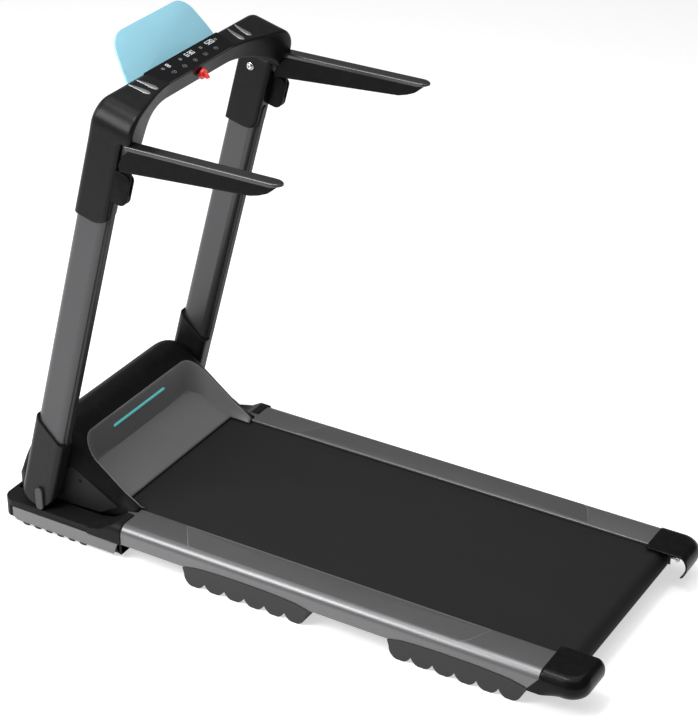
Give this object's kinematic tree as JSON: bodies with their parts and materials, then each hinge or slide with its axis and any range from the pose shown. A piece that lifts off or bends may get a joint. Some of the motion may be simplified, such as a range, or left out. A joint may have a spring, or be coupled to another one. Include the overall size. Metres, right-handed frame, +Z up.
{
  "type": "treadmill",
  "caption": "Folding home treadmill with padded side rails, motor hood, leaning oval uprights and an arched console carrying handrails and a tablet board.",
  "frame": {"origin": "on the floor, in the middle of the length and of the width", "axes": "+X to the runner's right when facing the console, +Y forward to the motor hood, +Z up"},
  "size_m": [0.585, 1.36, 1.0817],
  "materials": {
    "frame_steel": "black powder coat",
    "base_black": "fine moulded grain",
    "skirt_grey": "fine moulded grain",
    "hood_black": "satin moulded plastic",
    "pan_grey": "fine moulded grain",
    "light_lens": "translucent light diffuser",
    "gusset_black": "satin moulded plastic",
    "rail_grey": "fine moulded grain",
    "grip_rubber": "ribbed",
    "cap_black": "satin moulded plastic",
    "board_wood": "waxed fibreboard",
    "cushion_rubber": "matt",
    "belt_fabric": "fine diamond grain",
    "bright_steel": "turned",
    "bolt_steel": "zinc plated",
    "roller_steel": "turned",
    "pulley_plastic": "grooved",
    "motor_paint": "black enamel",
    "drive_rubber": "ribbed",
    "board_green": "lacquered circuit board",
    "panel_black": "satin",
    "switch_red": "moulded",
    "wheel_rubber": "moulded",
    "foot_rubber": "matt",
    "upright_paint": "fine powder coat",
    "spine_plastic": "satin",
    "boot_black": "satin moulded plastic",
    "console_black": "satin moulded plastic",
    "display_gloss": "gloss window",
    "inlay_silver": "satin",
    "arm_black": "fine moulded grain",
    "arm_strip": "soft touch",
    "tablet_clear": "pale blue moulded sheet",
    "key_red": "moulded",
    "latch_black": "satin"
  },
  "bodies": {
    "frame": {"deck_frame": "frame_steel", "base_frame": "frame_steel", "base_platform": "base_black", "skirt_left": "skirt_grey", "skirt_right": "skirt_grey", "hood_cover": "hood_black", "hood_pan": "pan_grey", "light_bar": "light_lens", "gusset_left": "gusset_black", "gusset_right": "gusset_black", "rail_left": "rail_grey", "rail_right": "rail_grey", "grip_left": "grip_rubber", "grip_right": "grip_rubber", "cap_left": "cap_black", "cap_right": "cap_black", "deck_board": "board_wood", "deck_cushions": "cushion_rubber", "running_belt": "belt_fabric", "roller_axles": "bright_steel", "tension_bolts": "bolt_steel", "drive_motor": "motor_paint", "drive_belt": "drive_rubber", "controller": "board_green", "power_panel": "panel_black", "wheel_axles": "bright_steel", "foot_base_left": "foot_rubber", "foot_base_right": "foot_rubber", "foot_mid_left": "foot_rubber", "foot_mid_right": "foot_rubber", "foot_rear_left": "foot_rubber", "foot_rear_right": "foot_rubber", "pivot_pins": "bright_steel"},
    "front_roller": {"roller_front": "roller_steel", "roller_pulley": "pulley_plastic"},
    "rear_roller": {"roller_rear": "roller_steel"},
    "rotor": {"motor_rotor": "bright_steel"},
    "switch": {"switch_rocker": "switch_red"},
    "wheel_l": {"wheel_left": "wheel_rubber"},
    "wheel_r": {"wheel_right": "wheel_rubber"},
    "mast": {"upright_left": "upright_paint", "upright_right": "upright_paint", "spine_left": "spine_plastic", "spine_right": "spine_plastic", "boot_left": "boot_black", "boot_right": "boot_black", "console_shell": "console_black", "display_panel": "display_gloss", "console_inlays": "inlay_silver", "sleeve_bolts": "bolt_steel", "arm_bracket_left": "console_black", "arm_bracket_right": "console_black"},
    "arm_l": {"arm_left": "arm_black", "arm_cap_left": "arm_strip"},
    "arm_r": {"arm_right": "arm_black", "arm_cap_right": "arm_strip"},
    "lever_l": {"latch_left": "latch_black"},
    "lever_r": {"latch_right": "latch_black"},
    "tablet": {"tablet_board": "tablet_clear"},
    "key": {"safety_key": "key_red"}
  },
  "joints": [
    {"name": "front_roller_spin", "type": "hinge", "parent": "frame", "child": "front_roller", "pos_m": [0, 0.467, 0.0495], "axis": [1, 0, 0], "continuous": true},
    {"name": "rear_roller_spin", "type": "hinge", "parent": "frame", "child": "rear_roller", "pos_m": [0, -0.606, 0.0495], "axis": [1, 0, 0], "continuous": true},
    {"name": "rotor_spin", "type": "hinge", "parent": "frame", "child": "rotor", "pos_m": [0, 0.592, 0.108], "axis": [1, 0, 0], "continuous": true},
    {"name": "switch_rock", "type": "hinge", "parent": "frame", "child": "switch", "pos_m": [0, 0.674, 0.0353], "axis": [1, 0, 0], "range_deg": [0, 14]},
    {"name": "wheel_spin_left", "type": "hinge", "parent": "frame", "child": "wheel_l", "pos_m": [-0.206, 0.649, 0.023], "axis": [1, 0, 0], "continuous": true},
    {"name": "wheel_spin_right", "type": "hinge", "parent": "frame", "child": "wheel_r", "pos_m": [0.206, 0.649, 0.023], "axis": [1, 0, 0], "continuous": true},
    {"name": "mast_fold", "type": "hinge", "parent": "frame", "child": "mast", "pos_m": [0, 0.584, 0.1], "axis": [1, 0, 0], "range_deg": [0, 63]},
    {"name": "arm_fold_left", "type": "hinge", "parent": "mast", "child": "arm_l", "pos_m": [-0.2715, 0.31556, 0.87], "axis": [1, 0, 0], "range_deg": [0, 110]},
    {"name": "arm_fold_right", "type": "hinge", "parent": "mast", "child": "arm_r", "pos_m": [0.2715, 0.31556, 0.87], "axis": [1, 0, 0], "range_deg": [0, 110]},
    {"name": "lever_turn_left", "type": "hinge", "parent": "mast", "child": "lever_l", "pos_m": [-0.284, 0.57575, 0.09986], "axis": [1, 0, 0], "range_deg": [0, 70]},
    {"name": "lever_turn_right", "type": "hinge", "parent": "mast", "child": "lever_r", "pos_m": [0.284, 0.57575, 0.09986], "axis": [1, 0, 0], "range_deg": [0, 70]},
    {"name": "tablet_lift", "type": "slide", "parent": "mast", "child": "tablet", "axis": [0, 0.5736, 0.8192], "range_m": [0, 0.04]},
    {"name": "key_pull", "type": "slide", "parent": "mast", "child": "key", "axis": [0, -0.9659, -0.2588], "range_m": [0, 0.012]}
  ],
  "couplings": [
    {"joint": "rear_roller_spin", "follows": "front_roller_spin", "ratio": 1},
    {"joint": "rotor_spin", "follows": "front_roller_spin", "ratio": 1.7222},
    {"joint": "arm_fold_left", "follows": "mast_fold", "ratio": 1.746},
    {"joint": "arm_fold_right", "follows": "mast_fold", "ratio": 1.746}
  ]
}
